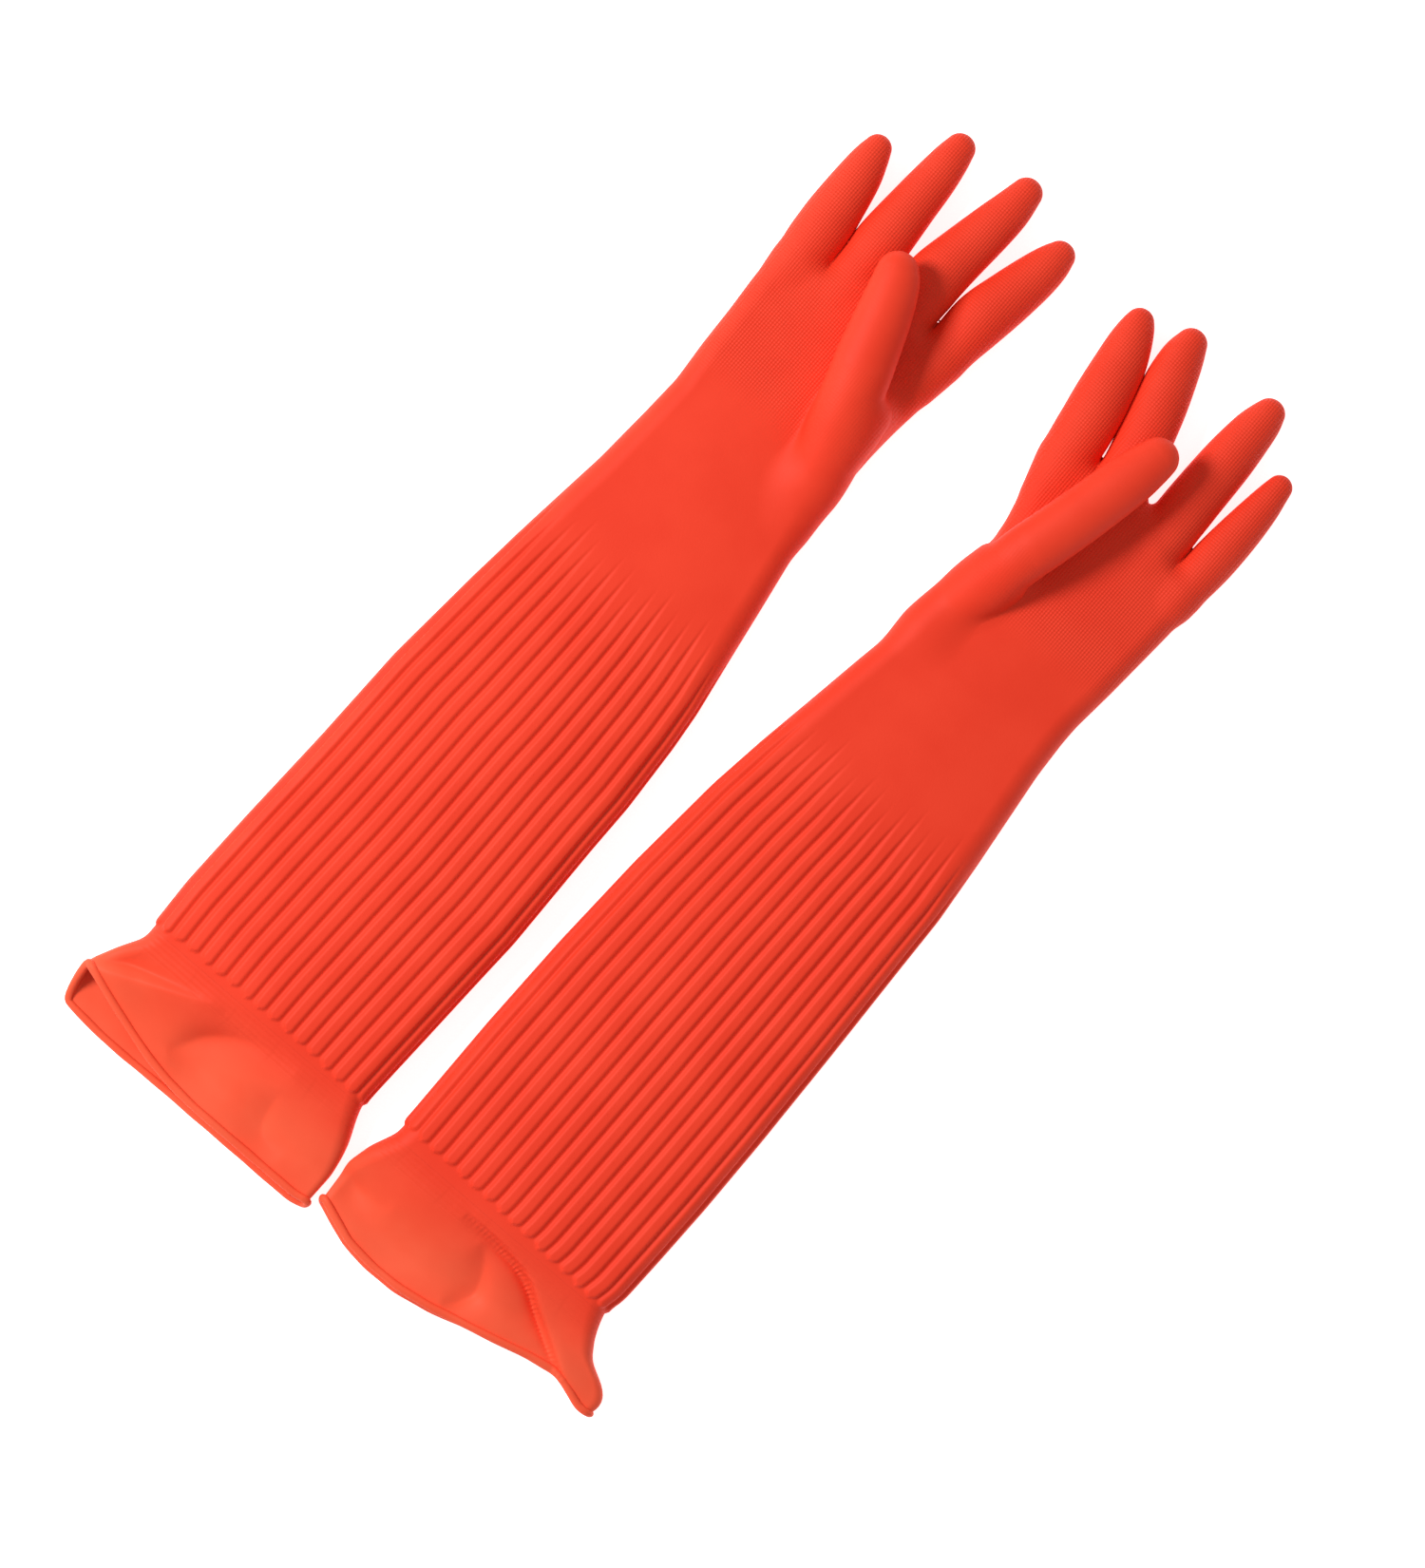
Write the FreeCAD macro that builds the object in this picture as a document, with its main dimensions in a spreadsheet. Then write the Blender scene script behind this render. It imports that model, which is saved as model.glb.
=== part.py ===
import FreeCAD, Part
import math
import os

import Sketcher

# A pair of extra long rubber gloves for wet housekeeping work, lying palm up side by side.
# Millimetres, +Z up, +Y from the cuffs to the fingertips. The origin is at the middle of the
# pair's footprint, on the surface that the gloves lie on. Each glove is one dipped skin, open at
# the arm and hollow to the fingertips, made here as tubes that meet at the lines where it folds.

DOC = FreeCAD.newDocument("rubber_gloves")
VECTOR = FreeCAD.Vector
GLOVES = ("right", "left")
FINGERS = ("index", "middle", "ring", "little")

# Sizes that both gloves share. A fold is the angle a line can bend, up towards the palm or down.
# The undersides are made lower by the skim and then planed off level with the surface below,
# except at the mouth, which the rolled rim lifts.
SHARED = {
    "wall": 0.6, "gap": 0.35, "bead_thick": 4.0, "reach": 34, "half_sleeve": 85,
    "mouth_y": -284.8, "flare_y": -258, "neck_y": -230.5, "elbow_y": -141.5, "forearm_y": -36.5,
    "gauntlet_y": 43.5, "wrist_y": 111.5, "heel_y": 140, "palm_y": 178, "web_y": 201.5,
    "mouth_lift": 1.7, "skim": 0.05, "mouth_tall": 25, "flare_tall": 25, "neck_tall": 24, "elbow_tall": 24, "forearm_tall": 24,
    "gauntlet_tall": 23, "wrist_tall": 22, "heel_tall": 19.6, "palm_tall": 19.6, "web_tall": 20,
    "neck_up": 30, "neck_down": 20, "elbow_up": 90, "elbow_down": 20, "wrist_up": 60, "wrist_down": 30,
    "knuckle_up": 60, "knuckle_down": 15, "under_thumb_up": 8, "middle_up": 80, "middle_down": 10,
    "thumb_up": 50, "thumb_down": 0, "thumb_tip_up": 60, "thumb_tip_down": 0,
    "finger_pitch": -1, "thumb_pitch": 3.5, "stub_long": 16,
    "index_root": 11.4, "index_end": 9.4, "middle_root": 11.4, "middle_end": 9.6,
    "ring_root": 11, "ring_end": 9.2, "little_root": 10.8, "little_end": 8.8,
    "thumb_root": 11.4, "thumb_end": 10.4, "thumb_rise": 32.6,
    "mound_wide": 11.4, "mound_tall": 20, "mound_rise": 20.4,
    "right_mound_back": 28, "right_mound_long": 27, "left_mound_back": 20, "left_mound_long": 20,
}

# Left and right edges of each glove at each station, seen from above.
EDGES = {
    "right": {"mouth": (-153.2, -7.6), "flare": (-153.6, -8.2), "neck": (-144.5, -16.5),
              "elbow": (-142.8, -13.6), "forearm": (-138, -15.2), "gauntlet": (-130, -25),
              "wrist": (-125, -36), "heel": (-127.4, -34.6), "palm": (-129.2, -30.4),
              "web": (-131, -25.6)},
    "left": {"mouth": (-3.4, 153.2), "flare": (-6.2, 148.6), "neck": (1.4, 129.2),
             "elbow": (1.4, 132), "forearm": (6, 128.6), "gauntlet": (17, 122.4),
             "wrist": (27, 117), "heel": (30.6, 119.4), "palm": (26.8, 122.2), "web": (23.4, 123.6)},
}

# Each digit: where its root line is (x, y), its turn about +Z, where it folds and how long it is.
DIGITS = {
    "right": {"index": (-39.6, 208, -9.1, 35, 69), "middle": (-67.1, 209.5, -5.6, 41, 79.3),
              "ring": (-95, 209.5, 0, 38, 74), "little": (-119, 205.5, 5.4, 26, 53.2),
              "thumb": (-62.5, 168.5, 18.8, 27, 57)},
    "left": {"index": (33, 207.5, 12.8, 35, 71), "middle": (60.9, 211.5, 14.7, 39, 77.6),
             "ring": (88.7, 211.5, -1, 35, 73.2), "little": (114.6, 205.5, -1.9, 26, 55),
             "thumb": (47.5, 155.5, -11.9, 41, 82)},
}

# The digits that lie under the thumb, so that they can rise only until they touch it.
UNDER_THUMB = {("right", "middle"), ("right", "ring"), ("left", "middle")}


def make_sheet():
    """Write every driving size into the spreadsheet, one named cell a row."""
    sheet = DOC.addObject("Spreadsheet::Sheet", "dims")
    sizes = dict(SHARED)
    for glove in GLOVES:
        for station, (low, high) in EDGES[glove].items():
            sizes[f"{glove}_{station}_low"] = low
            sizes[f"{glove}_{station}_high"] = high
        for digit, values in DIGITS[glove].items():
            for word, value in zip(("x", "y", "turn", "fold", "long"), values):
                sizes[f"{glove}_{digit}_{word}"] = value
    for row, (name, value) in enumerate(sizes.items(), start=1):
        sheet.set(f"A{row}", str(value))
        sheet.setAlias(f"A{row}", name)
    DOC.recompute()
    return sheet


SHEET = make_sheet()


def size(text):
    """Work out a sheet expression as a plain number."""
    return float(SHEET.evalExpression(text))


def vector(x, y, z):
    return f"create(<<vector>>; {x}; {y}; {z})"


def place(position, turn="0", pitch="0"):
    """Expression of a placement: a position, a turn about +Z, then a rise of the +Y end."""
    return f"create(<<placement>>; {position}; create(<<rotation>>; {turn}; 0; {pitch}))"


HOME = place(vector(0, 0, 0))


def new_body(label):
    body = DOC.addObject("PartDesign::Body", label)
    body.Label = label
    return body


def new_sketch(body, name, role):
    sketch = body.newObject("Sketcher::SketchObject", name)
    plane = next(item for item in body.Origin.OriginFeatures if item.Role == role)
    sketch.AttachmentSupport = [(plane, "")]
    sketch.MapMode = "FlatFace"
    return sketch


def fix(sketch, name, constraint, text):
    """Add a constraint and bind it to a sheet expression."""
    index = sketch.addConstraint(constraint)
    sketch.renameConstraint(index, name)
    sketch.setExpression(f"Constraints.{name}", text)


def section_rise(station):
    """Height of a section's middle above the surface."""
    lift = "dims.mouth_lift" if station == "mouth" else "(-dims.skim)"
    return f"dims.{station}_tall / 2 + {lift}"


def slot_sketch(body, name, station, glove, inset="0", shift="0"):
    """A flattened tube's section at a station: two straight sides and two half circles."""
    sketch = new_sketch(body, name, "XZ_Plane")
    sketch.setExpression("AttachmentOffset", place(vector(0, 0, f"-(dims.{station}_y + {shift})")))
    half = f"dims.{station}_tall / 2"
    middle = section_rise(station)
    low = f"dims.{glove}_{station}_low + {half}"
    high = f"dims.{glove}_{station}_high - {half}"
    left, right, rise, radius = size(low), size(high), size(middle), size(f"{half} - ({inset})")
    quarter = math.pi / 2
    normal = VECTOR(0, 0, 1)
    right_circle = Part.Circle(VECTOR(right, rise, 0), normal, radius)
    left_circle = Part.Circle(VECTOR(left, rise, 0), normal, radius)
    sketch.addGeometry(Part.LineSegment(VECTOR(left, rise - radius, 0), VECTOR(right, rise - radius, 0)))
    sketch.addGeometry(Part.ArcOfCircle(right_circle, -quarter, quarter))
    sketch.addGeometry(Part.LineSegment(VECTOR(right, rise + radius, 0), VECTOR(left, rise + radius, 0)))
    sketch.addGeometry(Part.ArcOfCircle(left_circle, quarter, 3 * quarter))
    for side in range(4):
        sketch.addConstraint(Sketcher.Constraint("Tangent", side, 2, (side + 1) % 4, 1))
    sketch.addConstraint(Sketcher.Constraint("Horizontal", 0))
    fix(sketch, "left_centre", Sketcher.Constraint("DistanceX", -1, 1, 3, 3, left), low)
    fix(sketch, "right_centre", Sketcher.Constraint("DistanceX", -1, 1, 1, 3, right), high)
    fix(sketch, "rise", Sketcher.Constraint("DistanceY", -1, 1, 1, 3, rise), middle)
    fix(sketch, "radius", Sketcher.Constraint("Radius", 1, radius), f"{half} - ({inset})")
    return sketch


def loft(body, kind, name, sketches):
    feature = body.newObject(kind, name)
    feature.Profile = sketches[0]
    feature.Sections = sketches[1:]
    feature.Ruled = True
    return feature


def flat_tube(body, glove, stations, end_shift="0"):
    """Outer skin through the stations; returns a function that hollows it."""
    outer = [slot_sketch(body, f"outer_{station}", station, glove) for station in stations]
    loft(body, "PartDesign::AdditiveLoft", "skin", outer)

    def hollow():
        inner = [slot_sketch(body, f"inner_{station}", station, glove, "dims.wall",
                             end_shift if station == stations[-1] else "0") for station in stations]
        loft(body, "PartDesign::SubtractiveLoft", "hollow", inner)

    return hollow


def trim(body, name, hinge, side, up, down, half_wide, below, above):
    """Cut a body back at a fold line so that it clears its neighbour at both ends of the fold.

    hinge is the placement expression of the line; side is +1 to cut the +Y side away, -1 for the
    -Y side. Two boxes lean by half of the fold each way."""
    start = "-dims.gap / 2" if side > 0 else "dims.gap / 2 - dims.reach"
    for way, angle in (("up", up), ("down", down)):
        lean = side * (1 if way == "up" else -1)
        box = body.newObject("PartDesign::SubtractiveBox", f"{name}_{way}")
        box.setExpression("Length", f"2 * ({half_wide})")
        box.setExpression("Width", "dims.reach")
        box.setExpression("Height", f"({below}) + ({above})")
        turned = place(vector(0, 0, 0), "0", f"{lean} * ({angle}) / 2")
        corner = place(vector(f"-({half_wide})", start, f"-({below})"))
        box.setExpression("Placement", f"{hinge} * {turned} * {corner}")


def plane_underside(body):
    """Cut away what is below the surface, so that the underside is a true plane."""
    box = body.newObject("PartDesign::SubtractiveBox", "underside")
    box.setExpression("Length", "4 * dims.half_sleeve")
    box.setExpression("Width", "8 * dims.half_sleeve")
    box.setExpression("Height", "dims.half_sleeve")
    box.setExpression("Placement",
                      place(vector("-2 * dims.half_sleeve", "-4 * dims.half_sleeve", "-dims.half_sleeve")))


def sleeve_hinge(glove, station):
    middle = f"(dims.{glove}_{station}_low + dims.{glove}_{station}_high) / 2"
    return place(vector(middle, f"dims.{station}_y", section_rise(station)))


def digit_rise(digit):
    return "dims.thumb_rise" if digit == "thumb" else f"dims.{digit}_root"


def digit_frame(glove, digit):
    """Placement of a digit: origin on its root line, +Y along it, +Z towards the palm's face."""
    key = f"dims.{glove}_{digit}"
    pitch = "dims.thumb_pitch" if digit == "thumb" else "dims.finger_pitch"
    return place(vector(f"{key}_x", f"{key}_y", digit_rise(digit)), f"{key}_turn", pitch)


def digit_folds(glove, digit):
    """Fold angles of a digit: root up, root down, middle up, middle down."""
    if digit == "thumb":
        return "dims.thumb_up", "dims.thumb_down", "dims.thumb_tip_up", "dims.thumb_tip_down"
    up = "dims.under_thumb_up" if (glove, digit) in UNDER_THUMB else "dims.knuckle_up"
    return up, "dims.knuckle_down", "dims.middle_up", "dims.middle_down"


def digit_radius(digit, along, long):
    """Outer radius of a digit at a distance from its root; it narrows evenly to the round end."""
    root, end = f"dims.{digit}_root", f"dims.{digit}_end"
    return f"{root} + ({end} - {root}) * ({along}) / ({long} - {end})"


def ring_profile(sketch, start, end, outer_start, outer_end):
    """Half section of a tapered tube with the sheet's wall thickness, along the sketch's X."""
    corners = ((start, outer_start), (end, outer_end),
               (end, f"{outer_end} - dims.wall"), (start, f"{outer_start} - dims.wall"))
    points = [VECTOR(size(x), size(y), 0) for x, y in corners]
    for side in range(4):
        sketch.addGeometry(Part.LineSegment(points[side], points[(side + 1) % 4]))
    for side in range(4):
        sketch.addConstraint(Sketcher.Constraint("Coincident", side, 2, (side + 1) % 4, 1))
    for side, (x, y) in enumerate(corners):
        fix(sketch, f"along_{side}", Sketcher.Constraint("DistanceX", -1, 1, side, 1, size(x)), x)
        fix(sketch, f"out_{side}", Sketcher.Constraint("DistanceY", -1, 1, side, 1, size(y)), y)


def tip_profile(sketch, start, outer_start, centre, outer_end):
    """Half section of a closed digit end: a tapered wall and a round dome about the centre."""
    quarter = math.pi / 2
    normal = VECTOR(0, 0, 1)
    inner_end = f"{outer_end} - dims.wall"
    x0, xc = size(start), size(centre)
    r0, r1, wall = size(outer_start), size(outer_end), size("dims.wall")
    middle = VECTOR(xc, 0, 0)
    sketch.addGeometry(Part.LineSegment(VECTOR(x0, r0, 0), VECTOR(xc, r1, 0)))
    sketch.addGeometry(Part.ArcOfCircle(Part.Circle(middle, normal, r1), 0, quarter))
    sketch.addGeometry(Part.LineSegment(VECTOR(xc + r1, 0, 0), VECTOR(xc + r1 - wall, 0, 0)))
    sketch.addGeometry(Part.ArcOfCircle(Part.Circle(middle, normal, r1 - wall), 0, quarter))
    sketch.addGeometry(Part.LineSegment(VECTOR(xc, r1 - wall, 0), VECTOR(x0, r0 - wall, 0)))
    sketch.addGeometry(Part.LineSegment(VECTOR(x0, r0 - wall, 0), VECTOR(x0, r0, 0)))
    for first, first_end, second, second_end in ((0, 2, 1, 2), (1, 1, 2, 1), (2, 2, 3, 1),
                                                 (3, 2, 4, 1), (4, 2, 5, 1), (5, 2, 0, 1)):
        sketch.addConstraint(Sketcher.Constraint("Coincident", first, first_end, second, second_end))
    for arc in (1, 3):
        sketch.addConstraint(Sketcher.Constraint("PointOnObject", arc, 3, -1))
        sketch.addConstraint(Sketcher.Constraint("PointOnObject", arc, 1, -1))
    fix(sketch, "outer_centre", Sketcher.Constraint("DistanceX", -1, 1, 1, 3, xc), centre)
    fix(sketch, "inner_centre", Sketcher.Constraint("DistanceX", -1, 1, 3, 3, xc), centre)
    fix(sketch, "outer_round", Sketcher.Constraint("Radius", 1, r1), outer_end)
    fix(sketch, "inner_round", Sketcher.Constraint("Radius", 3, r1 - wall), inner_end)
    fix(sketch, "outer_end", Sketcher.Constraint("DistanceX", -1, 1, 0, 2, xc), centre)
    fix(sketch, "inner_end", Sketcher.Constraint("DistanceX", -1, 1, 4, 1, xc), centre)
    fix(sketch, "start_along", Sketcher.Constraint("DistanceX", -1, 1, 0, 1, x0), start)
    fix(sketch, "start_out", Sketcher.Constraint("DistanceY", -1, 1, 0, 1, r0), outer_start)
    fix(sketch, "start_in_along", Sketcher.Constraint("DistanceX", -1, 1, 5, 1, x0), start)
    fix(sketch, "start_in", Sketcher.Constraint("DistanceY", -1, 1, 5, 1, r0 - wall),
        f"{outer_start} - dims.wall")


def revolve(body, sketch):
    feature = body.newObject("PartDesign::Revolution", "skin")
    feature.Profile = sketch
    feature.ReferenceAxis = (sketch, ["H_Axis"])
    feature.Angle = 360
    return feature


def digit_pieces(glove, digit):
    """The two hollow lengths of a digit: an open tube at its root and a closed tip."""
    key = f"dims.{glove}_{digit}"
    root_up, root_down, fold_up, fold_down = digit_folds(glove, digit)
    wide = f"dims.{digit}_root + 1"
    tall = f"1.5 * ({wide})"
    fold = place(vector(0, f"{key}_fold", 0))
    fold_radius = digit_radius(digit, f"{key}_fold", f"{key}_long")

    base = new_body(f"{glove}_{digit}_base")
    sketch = new_sketch(base, "profile", "YZ_Plane")
    ring_profile(sketch, "0", f"{key}_fold", f"dims.{digit}_root", fold_radius)
    revolve(base, sketch)
    trim(base, "root_cut", HOME, -1, root_up, root_down, wide, wide, tall)
    trim(base, "fold_cut", fold, 1, fold_up, fold_down, wide, wide, tall)
    base.setExpression("Placement", digit_frame(glove, digit))

    tip = new_body(f"{glove}_{digit}_tip")
    sketch = new_sketch(tip, "profile", "YZ_Plane")
    tip_profile(sketch, f"{key}_fold", fold_radius, f"{key}_long - dims.{digit}_end", f"dims.{digit}_end")
    revolve(tip, sketch)
    trim(tip, "fold_cut", fold, -1, fold_up, fold_down, wide, wide, tall)
    tip.setExpression("Placement", digit_frame(glove, digit))
    return [base, tip]


def stub(body, glove, digit, kind, inset, extra):
    """A straight length of a digit behind its root line, as an added or a cut cylinder."""
    word = "bore" if kind == "Subtractive" else "stub"
    cylinder = body.newObject(f"PartDesign::{kind}Cylinder", f"{digit}_{word}")
    cylinder.setExpression("Radius", f"dims.{digit}_root - {inset}")
    cylinder.setExpression("Height", f"dims.stub_long + {extra}")
    lying = place(vector(0, "-dims.stub_long", 0), "0", "-90")
    cylinder.setExpression("Placement", f"{digit_frame(glove, digit)} * {lying}")


def mound(body, glove, kind, inset):
    """The swelling that carries the thumb up from the palm's edge."""
    word = "mound_hollow" if kind == "Subtractive" else "mound"
    ellipsoid = body.newObject(f"PartDesign::{kind}Ellipsoid", word)
    ellipsoid.setExpression("Radius1", f"dims.mound_tall - {inset}")
    ellipsoid.setExpression("Radius2", f"dims.mound_wide - {inset}")
    ellipsoid.setExpression("Radius3", f"dims.{glove}_mound_long - {inset}")
    key = f"dims.{glove}_thumb"
    back = f"dims.{glove}_mound_back"
    centre = vector(f"{key}_x + {back} * sin({key}_turn)", f"{key}_y - {back} * cos({key}_turn)",
                    "dims.mound_rise")
    ellipsoid.setExpression("Placement", place(centre, f"{key}_turn"))


def hand(glove):
    """Palm and back of the hand, with the roots of the four fingers and the thumb."""
    body = new_body(f"{glove}_hand")
    hollow = flat_tube(body, glove, ("wrist", "heel", "palm", "web"), "-dims.wall")
    mound(body, glove, "Additive", "0")
    for digit in FINGERS + ("thumb",):
        stub(body, glove, digit, "Additive", "0", "0")
    for digit in FINGERS + ("thumb",):
        up, down, _, _ = digit_folds(glove, digit)
        clear = f"dims.{digit}_root + 0.3"
        trim(body, f"{digit}_cut", digit_frame(glove, digit), 1, up, down, clear, clear, "dims.reach / 2")
    hollow()
    mound(body, glove, "Subtractive", "dims.wall")
    for digit in FINGERS + ("thumb",):
        stub(body, glove, digit, "Subtractive", "dims.wall", "1")
    trim(body, "wrist_cut", sleeve_hinge(glove, "wrist"), -1, "dims.wrist_up", "dims.wrist_down",
         "dims.half_sleeve", "dims.wrist_tall", "dims.reach")
    plane_underside(body)
    return body


def tube(glove, name, stations, cuts):
    """A length of sleeve between two fold lines, open at both ends."""
    body = new_body(f"{glove}_{name}")
    flat_tube(body, glove, stations)()
    for station, side in cuts:
        trim(body, f"{station}_cut", sleeve_hinge(glove, station), side, f"dims.{station}_up",
             f"dims.{station}_down", "dims.half_sleeve", f"dims.{station}_tall", f"dims.{station}_tall")
    plane_underside(body)
    return body


def bead(glove):
    """The rolled rim of the arm opening: a round roll with a flat where the cuff's skin meets it."""
    body = new_body(f"{glove}_bead")
    path = slot_sketch(body, "path", "mouth", glove, "dims.wall / 2")
    section = new_sketch(body, "section", "YZ_Plane")
    middle = f"(dims.{glove}_mouth_low + dims.{glove}_mouth_high) / 2"
    section.setExpression("AttachmentOffset", place(vector(0, 0, middle)))
    radius = size("dims.bead_thick / 2")
    wall_middle = "dims.mouth_lift + dims.wall / 2"
    along, rise = size("dims.mouth_y"), size(wall_middle)
    centre = VECTOR(along - radius * 0.8, rise, 0)
    half = math.acos(0.8)
    circle = Part.Circle(centre, VECTOR(0, 0, 1), radius)
    arc = Part.ArcOfCircle(circle, half, 2 * math.pi - half)
    section.addGeometry(arc)
    section.addGeometry(Part.LineSegment(arc.EndPoint, arc.StartPoint))
    section.addConstraint(Sketcher.Constraint("Coincident", 0, 2, 1, 1))
    section.addConstraint(Sketcher.Constraint("Coincident", 1, 2, 0, 1))
    section.addConstraint(Sketcher.Constraint("Vertical", 1))
    fix(section, "round", Sketcher.Constraint("Radius", 0, radius), "dims.bead_thick / 2")
    fix(section, "centre_along", Sketcher.Constraint("DistanceX", -1, 1, 0, 3, centre.x),
        "dims.mouth_y - 0.4 * dims.bead_thick")
    fix(section, "centre_rise", Sketcher.Constraint("DistanceY", -1, 1, 0, 3, rise), wall_middle)
    fix(section, "flat", Sketcher.Constraint("DistanceX", -1, 1, 1, 1, along), "dims.mouth_y")
    roll = body.newObject("PartDesign::AdditivePipe", "roll")
    roll.Profile = section
    roll.Spine = (path, [])
    return body


def build(glove):
    pieces = [bead(glove), tube(glove, "cuff", ("mouth", "flare", "neck"), (("neck", 1),)),
              tube(glove, "lower_sleeve", ("neck", "elbow"), (("neck", -1), ("elbow", 1))),
              tube(glove, "upper_sleeve", ("elbow", "forearm", "gauntlet", "wrist"),
                   (("elbow", -1), ("wrist", 1))),
              hand(glove)]
    for digit in FINGERS + ("thumb",):
        pieces += digit_pieces(glove, digit)
    return pieces


def check_and_export(pieces):
    """Stop on any failed feature or unsound solid, then write one STEP file for each piece."""
    DOC.recompute()
    for item in DOC.Objects:
        if "Invalid" in item.State or "Error" in item.State:
            raise RuntimeError(f"{item.Name} ({item.Label}) failed: {item.State}")
    os.makedirs("parts", exist_ok=True)
    for piece in pieces:
        if piece.Shape.isNull() or not piece.Shape.isValid() or len(piece.Shape.Solids) != 1:
            raise RuntimeError(f"{piece.Label} is not one sound solid")
        piece.Shape.exportStep(os.path.join("parts", f"{piece.Label}.step"))


PIECES = [piece for glove in GLOVES for piece in build(glove)]
check_and_export(PIECES)
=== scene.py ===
"""Two elbow-length rubber gloves, lying palm up, as thin skins, some of which follow the CAD bodies.

Sizes are in millimetres in the row frame until a mesh is made, and then in metres.
"""

import math

import bpy
import numpy as np
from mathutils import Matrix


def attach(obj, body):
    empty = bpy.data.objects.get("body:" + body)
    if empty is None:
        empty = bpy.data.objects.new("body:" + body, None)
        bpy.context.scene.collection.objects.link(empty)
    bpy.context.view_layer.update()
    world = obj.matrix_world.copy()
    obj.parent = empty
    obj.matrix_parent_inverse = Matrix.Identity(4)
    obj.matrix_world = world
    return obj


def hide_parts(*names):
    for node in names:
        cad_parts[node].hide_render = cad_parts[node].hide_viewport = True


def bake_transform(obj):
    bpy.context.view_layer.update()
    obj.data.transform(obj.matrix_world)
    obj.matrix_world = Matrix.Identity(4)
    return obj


MM = 0.001
WALL = 0.7
GRID = 1.0

# Ribs round the sleeve: how many, points across each, and depth and half width of a groove.
RIBS = 35
RIB_STEPS = 12
RIB_DEPTH = 1.5
RIB_HALF = 2.3

# Places along Y: middle of the rim, first even row, the elbow and half the length of the stretch
# around it, start and end of the wrist piece, and end of the short digits.
RIM_Y = -272.0
EVEN_Y = -240.0
ELBOW_Y = -141.5
ELBOW_HALF = 32.0
HAND_Y = 80.0
WRIST_END_Y = 129.0
SHORT_DIGITS_Y = 236

# Radius of the rolled rim, and the height of a digit's section as a share of its width.
BEAD = 2.1
SQUAT = 0.86
THUMB_SQUAT = 0.8

# Height of each finger's middle line at its root, and how far it comes down toward the tip.
FINGERS = ("index", "middle", "ring", "little")
LIFTS = {"index": 10.7, "middle": 11.2, "ring": 10.7, "little": 11.8}
DROOP = 0.9

# How softly the thumb's mound, the thumb and the fingers run into the palm or each other.
MOUND_SOFT = 9.0
THUMB_SOFT = 12
FINGER_SOFT = 5.0

# How far the short root of a digit in the hand piece goes past the cut, and the height of the
# space in which surfaces are looked for.
STUMP = 6
LOW_Z, HIGH_Z = -2, 49

# Spacing of the grip pattern, and the fine lines round the neck: spacing, middle, half width.
GRIP_PITCH = 2.0
LINE_PITCH = 2.6
LINES_Y = -237.5
LINES_HALF = 5.5

# Height of the lying sleeve and hand at places along Y.
HEIGHTS = [(-290, 5.5), (-276, 5.5), (-262, 8.5), (-248, 16), (-236, 21.3), (-228, 22.2), (-141, 22.4),
           (-36, 22.4), (43, 21.4), (80, 20.8), (111, 20.4), (140, 19.4), (230, 19.4)]

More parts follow.
